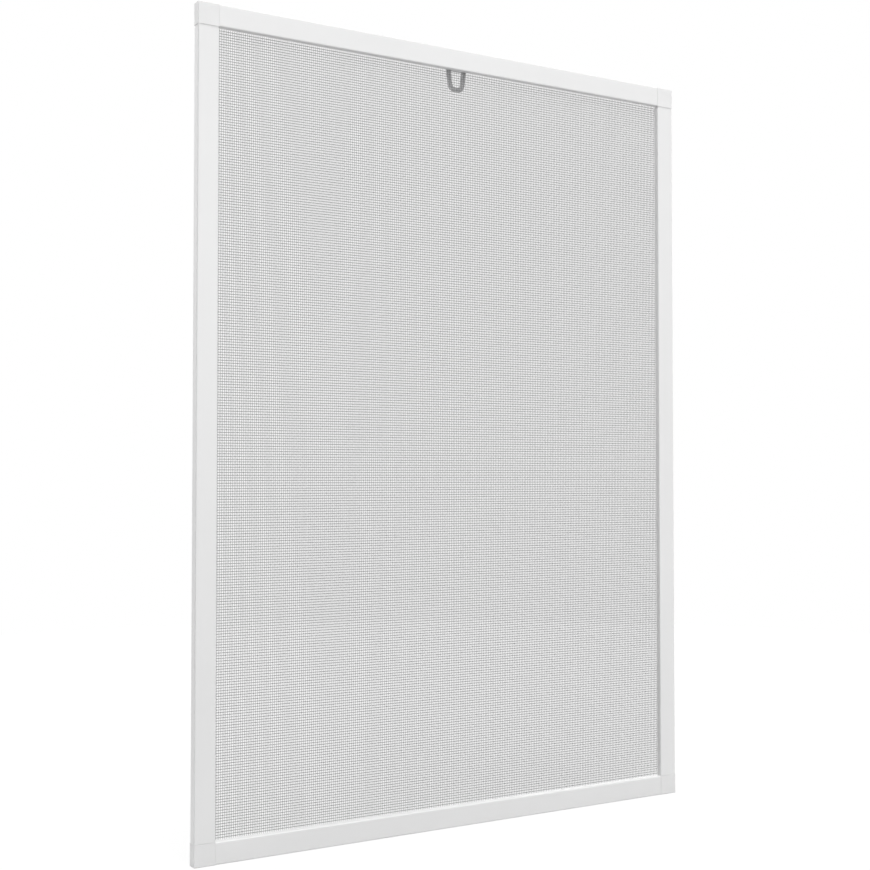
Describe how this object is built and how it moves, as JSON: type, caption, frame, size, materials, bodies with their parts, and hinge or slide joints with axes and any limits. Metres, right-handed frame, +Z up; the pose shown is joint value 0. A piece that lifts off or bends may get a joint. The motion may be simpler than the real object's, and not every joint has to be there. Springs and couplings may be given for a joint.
{
  "type": "window screen frame",
  "caption": "Upright window insect screen: white bars joined by square corner keys, with stretched grey mesh held by spline in a rear groove and a small pull loop under the top rail.",
  "frame": {"origin": "under the middle of the lowest edge, at half the depth", "axes": "+Z up, +X to the right seen from the front, +Y from the front to the back, where the spline groove is"},
  "size_m": [0.5442, 0.01, 0.7622],
  "materials": {
    "frame_paint": "white baked enamel on rolled aluminium, satin",
    "key_plastic": "white moulded plastic, fine satin",
    "mesh": "vinyl-coated fibreglass yarn, grey",
    "spline_vinyl": "extruded soft vinyl, dark grey",
    "loop_plastic": "grey moulded nylon"
  },
  "bodies": {
    "root": {"bottom_rail": "frame_paint", "top_rail": "frame_paint", "left_stile": "frame_paint", "right_stile": "frame_paint", "insect_mesh": "mesh", "pull_loop": "loop_plastic", "corner_key_bottom_left": "key_plastic", "corner_key_top_left": "key_plastic", "corner_key_top_right": "key_plastic", "corner_key_bottom_right": "key_plastic", "spline_bottom": "spline_vinyl", "spline_left": "spline_vinyl", "spline_top": "spline_vinyl", "spline_right": "spline_vinyl"}
  },
  "joints": []
}
